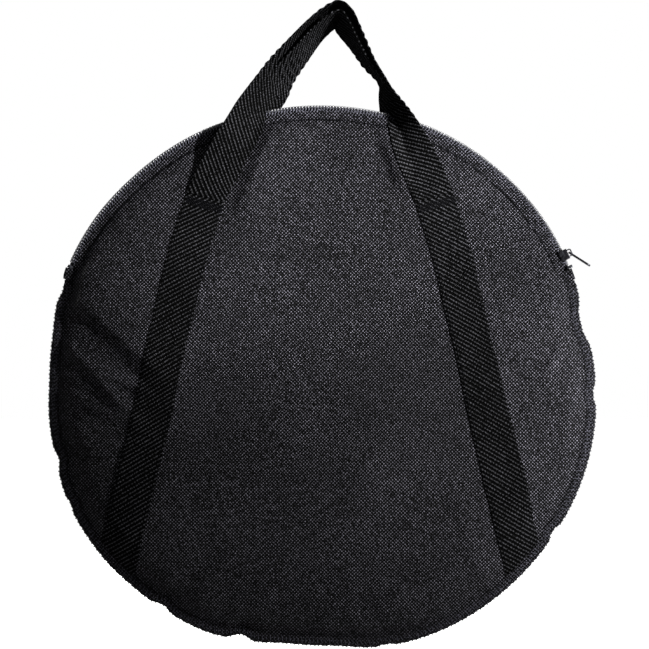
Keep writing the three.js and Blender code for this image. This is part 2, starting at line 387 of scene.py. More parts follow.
def place_vertices(piece: bpy.types.Object, places: Array) -> None:
    """Writes a mesh's vertex places from an N by 3 array, in metres."""
    piece.data.vertices.foreach_set("co", np.ascontiguousarray(places, float).ravel())
    piece.data.update()


def disc_places(piece: bpy.types.Object) -> Array:
    """Reads a mesh's vertex places in disc millimetres."""
    return (coordinates(piece) - MIDDLE) / MM


def place_on_disc(piece: bpy.types.Object, spots: Array) -> None:
    """Writes a mesh's vertex places from disc millimetres."""
    place_vertices(piece, spots * MM + MIDDLE)


def apply_modifier(piece: bpy.types.Object, kind: str, **settings: object) -> None:
    """Adds a modifier with its settings and applies it."""
    modifier = piece.modifiers.new(kind.title(), kind)
    for name, value in settings.items():
        setattr(modifier, name, value)
    pick(piece)
    bpy.ops.object.modifier_apply(modifier=modifier.name)


def in_edit_mode(piece: bpy.types.Object, *steps: Callable[[], object],
                 only: Array | None = None) -> None:
    """Runs edit-mode steps on one piece.

    Args:
        piece: The piece.
        *steps: The steps in order.
        only: Which vertices are selected at first, where not all.
    """
    pick(piece)
    if only is not None:
        piece.data.vertices.foreach_set("select", only)
    bpy.ops.object.mode_set(mode="EDIT")
    if only is None:
        bpy.ops.mesh.select_all(action="SELECT")
    for step in steps:
        step()
    bpy.ops.object.mode_set(mode="OBJECT")


def face_outwards() -> None:
    """Turns the selected faces outwards, in edit mode."""
    bpy.ops.mesh.normals_make_consistent(inside=False)


def settle(piece: bpy.types.Object, name: str, material: bpy.types.Material,
           smooth_deg: float = 60.0) -> bpy.types.Object:
    """Names a piece, puts its place in its mesh and dresses it.

    Args:
        piece: The mesh object.
        name: The piece's name.
        material: Its finish.
        smooth_deg: Edges sharper than this stay sharp.

    Returns:
        The piece.
    """
    piece.name = name
    piece.data.name = name
    pick(piece)
    bpy.ops.object.transform_apply(location=True, rotation=True, scale=True)
    bpy.ops.object.shade_smooth_by_angle(angle=math.radians(smooth_deg))
    piece.data.materials.clear()
    piece.data.materials.append(material)
    LOG.info("%s: %d faces", name, len(piece.data.polygons))
    return piece


def bend_with_flap(piece: bpy.types.Object) -> None:
    """Puts a front piece's placement into its mesh."""
    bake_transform(piece)


def tie(piece: bpy.types.Object, body: str | Side, *nodes: str) -> None:
    """Ties a piece to its body, or puts a front piece's placement into its mesh, and hides the CAD
    nodes that it stands for.

    Args:
        piece: The piece.
        body: A body's name, or the face of the case that the piece lies on.
        *nodes: The CAD nodes.
    """
    if body is Side.FRONT:
        bend_with_flap(piece)
    else:
        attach(piece, "case" if body is Side.BACK else body)
    if nodes:
        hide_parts(*nodes)


def new_piece(places: Array, faces: Sequence[Sequence[int]]) -> bpy.types.Object:
    """Makes a mesh object from places in metres and faces."""
    mesh = bpy.data.meshes.new("piece")
    mesh.from_pydata(places.tolist(), [], faces)
    piece = bpy.data.objects.new("piece", mesh)
    bpy.context.scene.collection.objects.link(piece)
    return piece


def repeated(unit: bpy.types.Object, placements: Sequence[Matrix]) -> bpy.types.Object:
    """Copies one small shape to many places and joins the copies as one piece.

    Args:
        unit: The shape, modelled about the origin; it is removed afterwards.
        placements: One matrix for each copy, in metres in the row frame.

    Returns:
        The joined piece.
    """
    source = coordinates(unit)
    faces = [tuple(face.vertices) for face in unit.data.polygons]
    stack = np.array([np.array(m) for m in placements])
    spots = np.einsum("nij,vj->nvi", stack[:, :3, :3], source) + stack[:, None, :3, 3]
    loops = [tuple(i + n * len(source) for i in face)
             for n in range(len(placements)) for face in faces]
    bpy.data.objects.remove(unit)
    return new_piece(spots.reshape(-1, 3), loops)


def thread_stitch(length: float, radius: float) -> bpy.types.Object:
    """One stitch of thread along X: a six-sided bead that thins and sinks at both ends.

    Args:
        length: Its length in millimetres.
        radius: The thread's radius in millimetres.

    Returns:
        The stitch, at the origin.
    """
    thin, sink = 0.45, 0.7
    deselect_all()
    bpy.ops.mesh.primitive_cylinder_add(vertices=6, radius=radius * MM, depth=length * MM,
                                        end_fill_type="NGON", rotation=(0, math.pi / 2, 0))
    unit = bpy.context.object
    bpy.ops.object.transform_apply(rotation=True)
    in_edit_mode(unit, lambda: bpy.ops.mesh.bisect(plane_co=(0, 0, 0), plane_no=(1, 0, 0)))
    spots = coordinates(unit)
    ends = np.abs(spots[:, 0]) > length * MM * 0.4
    spots[ends, 1:] *= thin
    spots[ends, 2] -= radius * MM * sink
    place_vertices(unit, spots)
    return unit


def rounded_copy(node: str, width: float, coat: float = 0.0) -> bpy.types.Object:
    """Copies a CAD node, merges its facets and rounds its edges.

    Args:
        node: The CAD node's name.
        width: The rounding in millimetres.
        coat: How much its faces grow outward, as under thick plating, mm.

    Returns:
        The copy, with its own mesh.
    """
    piece = bpy.data.objects.new(f"{node}_copy", frame["nodes"][node].data.copy())
    bpy.context.scene.collection.objects.link(piece)
    piece.matrix_world = Matrix.Identity(4)
    in_edit_mode(piece, lambda: bpy.ops.mesh.remove_doubles(threshold=1e-6),
                 lambda: bpy.ops.mesh.dissolve_limited(angle_limit=math.radians(4)))
    if coat:
        apply_modifier(piece, "DISPLACE", strength=coat * MM, mid_level=0.0)
    apply_modifier(piece, "BEVEL", width=width * MM, segments=3, limit_method="ANGLE",
                   angle_limit=math.radians(28))
    return piece


def frame_matrix(origin: Array, forward: Array, up: Sequence[float]) -> Matrix:
    """A placement whose X runs forward and whose Z points up, origin in disc millimetres."""
    x = Vector(forward).normalized()
    y = Vector(up).normalized().cross(x).normalized()
    matrix = Matrix((x, y, x.cross(y))).transposed().to_4x4()
    matrix.translation = CENTRE + Vector(origin) * MM
    return matrix


def unit_rows(rows: Array) -> Array:
    """Scales each row of an array to length 1."""
    return rows / np.linalg.norm(rows, axis=1)[:, None]


def run_along(line: Array) -> Array:
    """The distance run at each point of a line."""
    return np.concatenate([[0], np.cumsum(np.linalg.norm(np.diff(line, axis=0), axis=1))])


def smoothstep(value: Array, low: float, high: float) -> Array:
    """Goes smoothly from 0 at low to 1 at high."""
    t = np.clip((np.asarray(value, float) - low) / (high - low), 0, 1)
    return t * t * (3 - 2 * t)


def ripple(x: Array, z: Array, wavelength: float, seed: float) -> Array:
    """Smooth noise between -1 and 1 over the disc, the same on every run."""
    return np.array([noise.noise(Vector((a / wavelength, b / wavelength, seed)))
                     for a, b in zip(x, z)])


def disc_angle(spots: Array) -> Array:
    """The angle of each disc place, in degrees up from +X."""
    return np.degrees(np.arctan2(spots[:, 2], spots[:, 0]))


# ---- The case's outline and the relief of its cloth ----
@dataclass(frozen=True)
class Lobe:
    """A swelling or a pucker of the rim: where, how much and how wide."""

    angle: float
    swell: float
    half: float

    def at(self, degrees: Array) -> Array:
        """The change of radius in millimetres at each angle."""
        away = (degrees - self.angle + 180) % 360 - 180
        return self.swell / (1 + (away / self.half) ** 4)


@dataclass(frozen=True)
class Outline:
    """The soft case's outline: a circle that sags at the sides and is pinched at the bottom."""

    lobes: tuple[Lobe, ...] = (
        Lobe(319, 9.0, 36), Lobe(214, 8.5, 14), Lobe(239, 5.5, 12), Lobe(268, -9.0, 11),
        Lobe(150, 2.0, 12), Lobe(90, -3.0, 20), Lobe(176, -5.0, 10), Lobe(12, -3.5, 14),
        Lobe(11.8, -7.5, 4.0), Lobe(161, -3.5, 2.0), Lobe(197.5, -3.5, 1.6),
        Lobe(235.5, -4.0, 1.6), Lobe(253, -6.5, 1.8), Lobe(326.5, -3.5, 1.4),
        Lobe(356.5, -3.5, 1.8), Lobe(284, -2.0, 1.5), Lobe(207, -2.0, 1.2),
    )
    still: float = 150.0       # the cloth keeps its place inside this radius, mm
    full: float = 296.0        # and follows the rim fully outside this one

    def scale(self, degrees: Array) -> Array:
        """The rim's radius over the plain circle's at each angle."""
        return 1 + sum(lobe.at(degrees) for lobe in self.lobes) / RIM

    def warp(self, spots: Array) -> Array:
        """Draws disc places out to the outline, fully at the rim and less inwards."""
        share = smoothstep(np.hypot(spots[:, 0], spots[:, 2]), self.still, self.full)
        factor = 1 + (self.scale(disc_angle(spots)) - 1) * share
        moved = spots.copy()
        moved[:, 0] *= factor
        moved[:, 2] *= factor
        return moved


@dataclass(frozen=True)
class Crease:
    """A fold in the cloth: a line across the panel with a rounded ridge or valley along it.

    A crease with a rise is a step instead: the cloth climbs to the line over the
    rise, and on the line's right-hand side it drops back over the width.
    """

    start: tuple[float, float]
    end: tuple[float, float]
    height: float             # millimetres outward, below zero for a valley
    width: float
    rise: float = 0.0

    def at(self, x: Array, z: Array) -> Array:
        """The relief in millimetres at each place."""
        a = np.array(self.start)
        d = np.array(self.end) - a
        length = float(np.hypot(*d))
        px, pz = x - a[0], z - a[1]
        along = (px * d[0] + pz * d[1]) / length**2
        off = (px * d[1] - pz * d[0]) / length
        taper = smoothstep(along, -0.12, 0.2) * (1 - smoothstep(along, 0.75, 1.12))
        if self.rise:
            step = smoothstep(off, -self.rise, 0) - np.clip(off / self.width, 0, 1)
            return self.height * taper * step
        return self.height * taper * np.exp(-(off / self.width) ** 2)


@dataclass(frozen=True)
class Relief:
    """How far each face of the case stands out, from its centre to the seam."""

    shoulder: tuple[tuple[float, float], ...] = (
        (0, 22.6), (120, 23.4), (235, 24.0), (262, 23.2), (279, 20.6), (291, 15.4), (299, 8.6),
        (303.5, 2.6), (306, 1.3), (314, 1.1),
    )
    inside: tuple[tuple[float, float], ...] = (       # the pack, which the cloth lies on
        (0, 21.4), (262, 21.2), (279, 17.6), (288, 13.6), (296, 8.0), (303, 1.4), (316, 1.0),
    )
    front: tuple[Crease, ...] = (
        Crease((-342, 150), (-178, -2), 13.0, 18, 80), Crease((-318, 62), (-206, -54), 9.0, 12, 13),
        Crease((-262, 8), (-196, -16), 6.0, 9, 12), Crease((-318, -8), (-214, -54), 5.5, 9, 10),
        Crease((-308, -42), (-262, -68), 4.0, 8, 8), Crease((-268, -126), (-222, -204), 1.6, 18, 14),
        Crease((-296, 150), (-216, 96), 1.6, 14), Crease((-246, -186), (-200, -246), 2.0, 8, 12),
        Crease((304, 84), (250, -6), 3.0, 3.6, 14),
        Crease((286, -18), (262, -96), 1.6, 5, 18), Crease((296, 40), (284, -8), 2.2, 7),
        Crease((236, -120), (262, -176), -2.2, 9), Crease((214, -60), (250, -168), 2.2, 14),
        Crease((180, -255), (212, -214), -2.6, 8), Crease((150, -120), (196, -262), 2.4, 12),
        Crease((-45, 306), (-97, 188), 10.0, 11, 48), Crease((-22, 300), (-30, 236), 1.8, 11),
        Crease((12, 300), (8, 226), -1.8, 12), Crease((44, 300), (46, 240), 1.6, 12),
        Crease((-50, 296), (-62, 238), -1.6, 10), Crease((64, 306), (96, 212), 8.0, 10, 22),
        Crease((-120, -190), (-160, -262), -2.6, 12), Crease((-60, -250), (-110, -292), 2.4, 9),
        Crease((40, -262), (96, -292), -2.0, 9), Crease((-30, -230), (60, -262), -2.0, 14),
        Crease((-96, 262), (-40, 284), -1.6, 8), Crease((60, 282), (112, 262), -1.6, 8),
        Crease((200, 196), (240, 150), -1.6, 10), Crease((-236, 170), (-206, 120), -1.8, 9),
    )
    back: tuple[Crease, ...] = (
        Crease((-230, 60), (-120, -40), 3.0, 16), Crease((240, 20), (150, -110), -2.8, 14),
        Crease((-100, -180), (40, -250), 2.6, 14), Crease((60, 120), (120, 20), -2.2, 16),
        Crease((-280, -60), (-236, -140), -3.0, 10), Crease((276, -80), (232, -160), 2.8, 11),
    )
    puckers: int = 46          # gathers of the cloth round the seam

    def depth(self, side: Side, x: Array, z: Array) -> Array:
        """The face's distance from the middle plane at each place.

        Args:
            side: Front or back.
            x: Places to the right of the disc's centre, mm.
            z: Places above it, mm.

        Returns:
            The distances in millimetres.
        """
        creases, seed = (self.front, 3.0) if side is Side.FRONT else (self.back, 11.0)
        radius = np.hypot(x, z)
        angle = np.arctan2(z, x)
        folds = sum(crease.at(x, z) for crease in creases)
        drape = 1.5 * ripple(x, z, 95, seed) + 0.6 * ripple(x, z, 34, seed + 5)
        gather = np.sin(angle * self.puckers + 3 * np.sin(angle * 5))
        pucker = 0.9 * gather * smoothstep(radius, 262, 292)
        fade = 1 - smoothstep(radius, 291, 304)
        plain = np.interp(radius, *zip(*self.shoulder))
        return np.maximum(plain + (folds + drape + pucker) * fade,
                          np.interp(radius, *zip(*self.inside)))


OUTLINE = Outline()
RELIEF = Relief()


def over_cloth(side: Side, lift: float) -> Callable[[Array], Array]:
    """Makes a function that lays disc places on one face of the case, lifted in mm."""
    def lay(spots: Array) -> Array:
        """Lays the places down."""
        laid = OUTLINE.warp(spots)
        laid[:, 1] = side.value * (RELIEF.depth(side, spots[:, 0], spots[:, 2]) + lift)
        return laid
    return lay


def clear_of_cloth(side: Side, lift: float) -> Callable[[Array], Array]:
    """Makes a function that lifts disc places off one face of the case where they sink in."""
    def raise_up(spots: Array) -> Array:
        """Lifts the places that lie too deep."""
        surface = RELIEF.depth(side, spots[:, 0], spots[:, 2]) + lift
        over_case = np.hypot(spots[:, 0], spots[:, 2]) < RIM
        raised = spots.copy()
        raised[:, 1] = side.value * np.maximum(side.value * spots[:, 1],
                                               np.where(over_case, surface, -RIM))
        return raised
    return raise_up


@dataclass
class CasePanels:
    """The two round cloth faces of the case; the front one carries the flap."""

    finishes: Finishes
    spokes: int = 420
    ring_step: float = 3.1
    cloth: float = 0.9
    outer: float = 314.0
    hem: float = 302.5

    def build(self) -> None:
        """Makes both faces; the back one is tied to the case's body, the front one put in place in
        its mesh.
        """
        for side, nodes in ((Side.FRONT, ("front_panel", "front_flap")),
                            (Side.BACK, ("back_panel",))):
            face = self.face(side)
            tie(face, side, *nodes)

    def face(self, side: Side) -> bpy.types.Object:
        """Draws one face in from the seam, ring by ring, then shapes its relief.

        Args:
            side: Front or back.

        Returns:
            The finished cloth.
        """
        deselect_all()
        bpy.ops.mesh.primitive_circle_add(vertices=self.spokes, radius=self.outer * MM,
                                          fill_type="NOTHING", location=CENTRE,
                                          rotation=(math.pi / 2, 0, 0))
        piece = bpy.context.object
        in_edit_mode(piece, self.draw_rings, lambda: bpy.ops.mesh.merge(type="CENTER"))
        bpy.ops.object.transform_apply(location=True, rotation=True)
        spots = disc_places(piece)
        degrees = disc_angle(spots)
        along_zip = (degrees > ZIP_END + 1) & (degrees < 180 - ZIP_END - 1)
        trim = (np.hypot(spots[:, 0], spots[:, 2]) > self.hem) & along_zip
        in_edit_mode(piece, lambda: bpy.ops.mesh.delete(type="VERT"), only=trim)
        spots = disc_places(piece)
        spots[:, 1] = side.value * RELIEF.depth(side, spots[:, 0], spots[:, 2])
        place_on_disc(piece, OUTLINE.warp(spots))
        in_edit_mode(piece, face_outwards)
        if piece.data.polygons[len(piece.data.polygons) // 2].normal.y * side.value < 0:
            in_edit_mode(piece, bpy.ops.mesh.flip_normals)
        apply_modifier(piece, "SOLIDIFY", thickness=self.cloth * MM, offset=-1.0)
        return settle(piece, f"case_{side.word}_cloth", self.finishes.nylon)

    def draw_rings(self) -> None:
        """Extrudes the seam's circle inwards, in finer rings near the rim."""
        radius = self.outer
        while radius > 2 * self.ring_step:
            step = self.ring_step if radius > 200 else self.ring_step * 1.5
            ratio = (radius - step) / radius
            bpy.ops.mesh.extrude_region_move()
            bpy.ops.transform.resize(value=(ratio, 1, ratio), center_override=CENTRE)
            radius -= step


# ---- Rim: binding, zip tapes, coils, slider, stops ----
def swept_ring(section: Sequence[tuple[float, float]], from_deg: float, to_deg: float,
               steps: int) -> bpy.types.Object:
    """Spins a closed section of (radius, y) points about the disc's axis.

    Args:
        section: The section's corners, in millimetres.
        from_deg: Where it starts, measured up from +X.
        to_deg: Where it ends.
        steps: How many pieces long it is.

    Returns:
        A closed ring piece with capped ends.
    """
    deselect_all()
    bpy.ops.mesh.primitive_circle_add(vertices=len(section), radius=MM, fill_type="NGON")
    piece = bpy.context.object
    a = math.radians(from_deg)
    corners = [(radius * math.cos(a), y, radius * math.sin(a)) for radius, y in section]
    place_vertices(piece, np.array(corners) * MM)
    piece.location = CENTRE
    bpy.ops.object.transform_apply(location=True)
    in_edit_mode(
        piece,
        lambda: bpy.ops.mesh.spin(steps=steps, dupli=False, center=CENTRE, axis=(0, 1, 0),
                                  angle=math.radians(to_deg - from_deg)),
        lambda: bpy.ops.mesh.select_all(action="SELECT"),
        lambda: bpy.ops.mesh.remove_doubles(threshold=1e-6),
        face_outwards,
    )
    return piece


def warp_to_outline(piece: bpy.types.Object) -> None:
    """Moves a rim piece out to the case's soft outline."""
    place_on_disc(piece, OUTLINE.warp(disc_places(piece)))


def rim_point(degrees: float, radius: float, y: float) -> Array:
    """A place near the rim on the soft outline, in disc millimetres."""
    a = math.radians(degrees)
    return OUTLINE.warp(np.array([[radius * math.cos(a), y, radius * math.sin(a)]]))[0]


def across_rim(side: Side, start: Triple, end: Triple) -> Matrix:
    """A placement that runs across one face of the rim.

    Args:
        side: The face.
        start: The inner end, as degrees, radius and depth.
        end: The outer end.

    Returns:
        The placement, halfway between the ends.
    """
    inner, outer = (rim_point(degrees, radius, side.value * depth)
                    for degrees, radius, depth in (start, end))
    return frame_matrix((inner + outer) / 2, outer - inner, (0, side.value, 0))


@dataclass
class RimBinding:
    """The tape folded over the lower seam, whipped with thread."""

    finishes: Finishes
    stitch_pitch: float = 4.7
    first_deg: float = 159.1
    last_deg: float = 380.9
    half: float = 3.1
    inner: float = 304.2
    outer: float = 315.6
    crown: float = 1.7

    def build(self) -> None:
        """Makes the binding and its stitches."""
        profile = [(self.inner, self.half - 0.5), (self.inner + 1, self.half),
                   (self.outer - self.crown, self.half), (self.outer - 0.4, self.half - 0.9),
                   (self.outer, self.half - self.crown - 0.3)]
        section = [(radius, -y) for radius, y in profile] + profile[::-1]
        tape = swept_ring(section, self.first_deg, self.last_deg, 440)
        self.gather(tape)
        warp_to_outline(tape)
        settle(tape, "rim_binding_tape", self.finishes.binding, 50)
        tie(tape, "case", "seam_binding")
        self.whip_stitches()

    def gather(self, tape: bpy.types.Object) -> None:
        """Puckers the binding between its stitches."""
        spots = disc_places(tape)
        angle = np.arctan2(spots[:, 2], spots[:, 0])
        wave = 0.35 * np.sin(angle * RIM * 2 * math.pi / (self.stitch_pitch * 2.5))
        spots[:, 1] += np.sign(spots[:, 1]) * wave * 0.5
        spots[:, 0] *= 1 + wave / RIM
        spots[:, 2] *= 1 + wave / RIM
        place_on_disc(tape, spots)

    def whip_stitches(self) -> None:
        """Lays slanted stitches over both faces and the edge of the binding."""
        lean = 0.55            # degrees round the rim from a stitch's inner end to its outer one
        edge_share = 0.55      # an edge stitch's length over a face stitch's
        places = []
        degrees = self.first_deg + 1
        while degrees < self.last_deg - 1:
            for side in Side:
                places.append(across_rim(side, (degrees, 305.4, 3.25),
                                         (degrees + lean, 315.2, 2.6)))
            edge = rim_point(degrees + lean, 315.9, 0)
            places.append(frame_matrix(edge, (0, 1, 0.1), edge * (1, 0, 1)) @
                          Matrix.Scale(edge_share, 4, (1, 0, 0)))
            degrees += math.degrees(self.stitch_pitch / RIM)
        stitches = repeated(thread_stitch(10.6, 0.85), places)
        settle(stitches, "rim_whip_stitches", self.finishes.rim_thread)
        tie(stitches, "case")


@dataclass
class Zip:
    """The coil zip over the top of the case, with its slider, tab and stops."""

    finishes: Finishes
    tooth_pitch: float = 3.6

    def build(self) -> None:
        """Makes both halves and the hardware."""
        for side in Side:
            self.tape(side)
            self.coil(side)
            self.overlock(side)
            self.hem_stitches(side)
        self.hardware()
        self.end_tabs()

    def tape(self, side: Side) -> None:
        """Makes one woven tape, from under the hem to the coil, with a rolled cord edge."""
        wall, roll = 0.9, 0.4
        line = [(299.6, 6.6), (305.5, 3.7), (311.9, 1.5)]
        edge = [(line[-1][0] + roll, line[-1][1] - 0.5)]
        section = line + edge + [(radius, y - wall) for radius, y in reversed(line)]
        tape = swept_ring([(radius, side.value * y) for radius, y in section],
                          ZIP_END, 180 - ZIP_END, 300)
        warp_to_outline(tape)
        name = f"zip_{side.word}_tape"
        settle(tape, f"{name}_cloth", self.finishes.tape, 50)
        tie(tape, side, name)

    def along_zip(self, offset: float) -> list[float]:
        """The degrees of each tooth of one row, which starts offset pitches in."""
        pitch = math.degrees(self.tooth_pitch / RIM)
        first, last = ZIP_END + 0.4, 180 - ZIP_END - 0.4
        return list(np.arange(first + offset * pitch, last, pitch))

    def coil(self, side: Side) -> None:
        """Makes one side's row of coil loops, offset by half a pitch from the other."""
        deselect_all()
        bpy.ops.mesh.primitive_cube_add(size=1, scale=(4.6 * MM, 1.9 * MM, 2.5 * MM))
        loop = bpy.context.object
        bpy.ops.object.transform_apply(scale=True)
        apply_modifier(loop, "BEVEL", width=0.8 * MM, segments=1, limit_method="NONE")
        teeth = self.along_zip(0.5 if side is Side.BACK else 0)
        coil = repeated(loop, [across_rim(side, (at, 311.2, 1.5), (at - 0.28, 315.4, 1.45))
                               for at in teeth])
        name = f"zip_{side.word}_coil"
        settle(coil, f"{name}_loops", self.finishes.coil, 50)
        tie(coil, side, name)

    def overlock(self, side: Side) -> None:
        """Lays the pale thread that binds the coil to its tape, one stitch for each loop."""
        places = [across_rim(side, (at + 0.3, 308.6, 3.15), (at - 0.15, 313.8, 3.0))
                  for at in self.along_zip(0.5)]
        stitches = repeated(thread_stitch(6.2, 0.5), places)
        settle(stitches, f"zip_{side.word}_overlock", self.finishes.pale_thread)
        tie(stitches, side)

    def hem_stitches(self, side: Side) -> None:
        """Sews the panel's hem down along the zip with thick near-black stitches, which also draw
        the seam's shadowed valley as a painted shade line.
        """
        radius, pitch = 298.4, 3.1
        tilt = 0.8             # how far the stitches lean out with the cloth's shoulder
        lay = over_cloth(side, 0.6)
        places = []
        end = math.radians(ZIP_END + 0.6)
        for angle in np.arange(end, math.pi - end, pitch / RIM):
            here, ahead = lay(np.array([[radius * math.cos(a), 0, radius * math.sin(a)]
                                        for a in (angle, angle + 0.002)]))
            outward = (tilt * here[0] / RIM, side.value, tilt * here[2] / RIM)
            places.append(frame_matrix(here, ahead - here, outward))
        # Wide, close and near black: the row is real stitching and also a painted shadow line along
        # the seam.
        stitches = repeated(thread_stitch(3.3, 1.15), places)
        settle(stitches, f"zip_{side.word}_hem_stitches", self.finishes.thread)
        tie(stitches, side)

    def hardware(self) -> None:
        """Rounds the cast slider, its pull tab and the stops."""
        for node, body, width, coat in (("zip_slider", "slider", 0.45, 0.0),
                                        ("zip_pull_tab", "pull_tab", 0.3, 0.45),
                                        ("zip_stop_right", "case", 0.3, 0.0),
                                        ("zip_stop_left", "case", 0.3, 0.0)):
            piece = rounded_copy(node, width, coat)
            settle(piece, f"{node}_cast", self.finishes.gunmetal, 35)
            tie(piece, body, node)

    def end_tabs(self) -> None:
        """Folds a short cloth tab over each end of the zip."""
        profile = [(303.6, 3.6), (308, 4.0), (314.6, 3.9), (316.9, 2.2)]
        section = [(radius, -y) for radius, y in profile] + profile[::-1]
        for hand, first, last in ((Hand.LEFT, 156.6, 159.0), (Hand.RIGHT, 21.0, 23.4)):
            tab = swept_ring(section, first, last, 10)
            warp_to_outline(tab)
            apply_modifier(tab, "BEVEL", width=0.35 * MM, segments=2, limit_method="ANGLE")
            name = f"zip_end_tab_{hand.name.lower()}"
            settle(tab, f"{name}_cloth", self.finishes.binding, 50)
            tie(tab, "case", name)


# ---- Webbing ----
@dataclass(frozen=True)
class Station:
    """One place along a strip of webbing, in disc millimetres.

    edge is a point on the strip's leading edge, and across the unit direction
    to its other edge.
    """

    edge: Triple
    across: Triple


def even_stations(stations: Sequence[Station], step: float) -> tuple[Array, Array, Array]:
    """Runs a smooth line through stations and cuts it at an even step.

    Args:
        stations: The stations in order.
        step: The step along the strip, mm.

    Returns:
        The edge places, the across directions and the distance run, per cut.
    """
    rows = np.array([station.edge + station.across for station in stations])
    padded = np.vstack([2 * rows[0] - rows[1], rows, 2 * rows[-1] - rows[-2]])
    dense = []
    for i in range(1, len(padded) - 2):
        p0, p1, p2, p3 = padded[i - 1:i + 3]
        for t in np.linspace(0, 1, 24, endpoint=False):
            dense.append(0.5 * (2 * p1 + (p2 - p0) * t + (2 * p0 - 5 * p1 + 4 * p2 - p3) * t**2
                                + (3 * p1 - p0 - 3 * p2 + p3) * t**3))
    line = np.array(dense + [rows[-1]])
    run = run_along(line[:, :3] + line[:, 3:] * WEB / 2)
    cuts = np.linspace(0, run[-1], max(4, int(run[-1] / step)) + 1)
    even = np.stack([np.interp(cuts, run, line[:, k]) for k in range(6)], axis=1)
    return even[:, :3], unit_rows(even[:, 3:]), cuts


@dataclass
class WebbingStrip:
    """A strip of ribbed webbing laid along its stations."""

    stations: Sequence[Station]
    lean: int                                 # as RibbedWebbing's
    side: Side                                # the face of the case that it shows towards
    skin: Callable[[Array], Array]            # what keeps it out of the cloth
    step: float = 0.95
    strands: int = 40
    wrinkle: Callable[[Array, Array], Array] | None = None
    rib_height: float = 0.34
    selvedge: float = 2.2                     # width of the flat woven edge
    wall: float = 1.3

    def build(self) -> bpy.types.Object:
        """Models the strip from a grid: laid out, ribbed, thickened and mapped in metres.

        Returns:
            The strip, not yet named or dressed.
        """
        edges, across, run = even_stations(self.stations, self.step)
        deselect_all()
        bpy.ops.mesh.primitive_grid_add(x_subdivisions=self.strands, size=1, calc_uvs=True,
                                        y_subdivisions=len(run) - 1)
        piece = bpy.context.object
        flat = coordinates(piece)
        u = (flat[:, 0] + 0.5) * WEB
        row = np.rint((flat[:, 1] + 0.5) * (len(run) - 1)).astype(int)
        forward = np.gradient(edges + across * WEB / 2, axis=0)
        normal = unit_rows(np.cross(across, forward))
        if np.sum(normal[:, 1]) * self.side.value < 0:
            normal = -normal
        height = self.relief(u, run[row])
        if self.wrinkle is not None:
            height = height + self.wrinkle(u, run[row])
        spots = self.skin(edges[row] + across[row] * u[:, None])
        place_on_disc(piece, spots + normal[row] * height[:, None])
        self.map_metres(piece, u, run[row])
        face = piece.data.polygons[len(piece.data.polygons) // 2]
        if face.normal.dot(Vector(normal[row[face.vertices[0]]])) < 0:
            in_edit_mode(piece, bpy.ops.mesh.flip_normals)
        apply_modifier(piece, "SOLIDIFY", thickness=self.wall * MM, offset=-1.0)
        return piece

    def relief(self, u: Array, v: Array) -> Array:
        """Diagonal ribs with rounded crowns, fading at the woven edges."""
        over, along = RIB_WAY
        rib = 0.5 + 0.5 * np.cos(2 * math.pi * (along * v + over * self.lean * u) / RIB)
        turn = 2 * math.pi * (along * u - over * self.lean * v) / BEAD
        edge = np.clip(np.minimum(u, WEB - u) / self.selvedge, 0, 1)
        crowns = rib * (0.88 + 0.12 * np.cos(turn)) * (0.25 + 0.75 * edge)
        return self.rib_height * crowns - 0.25 * (1 - edge)

    def map_metres(self, piece: bpy.types.Object, u: Array, v: Array) -> None:
        """Sets the UV map to metres across and along the strip."""
        loops = np.empty(len(piece.data.loops), int)
        piece.data.loops.foreach_get("vertex_index", loops)
        layer = piece.data.uv_layers[0]
        layer.name = "UVMap"
        layer.data.foreach_set("uv", (np.stack([u[loops], v[loops]], axis=1) * MM).ravel())


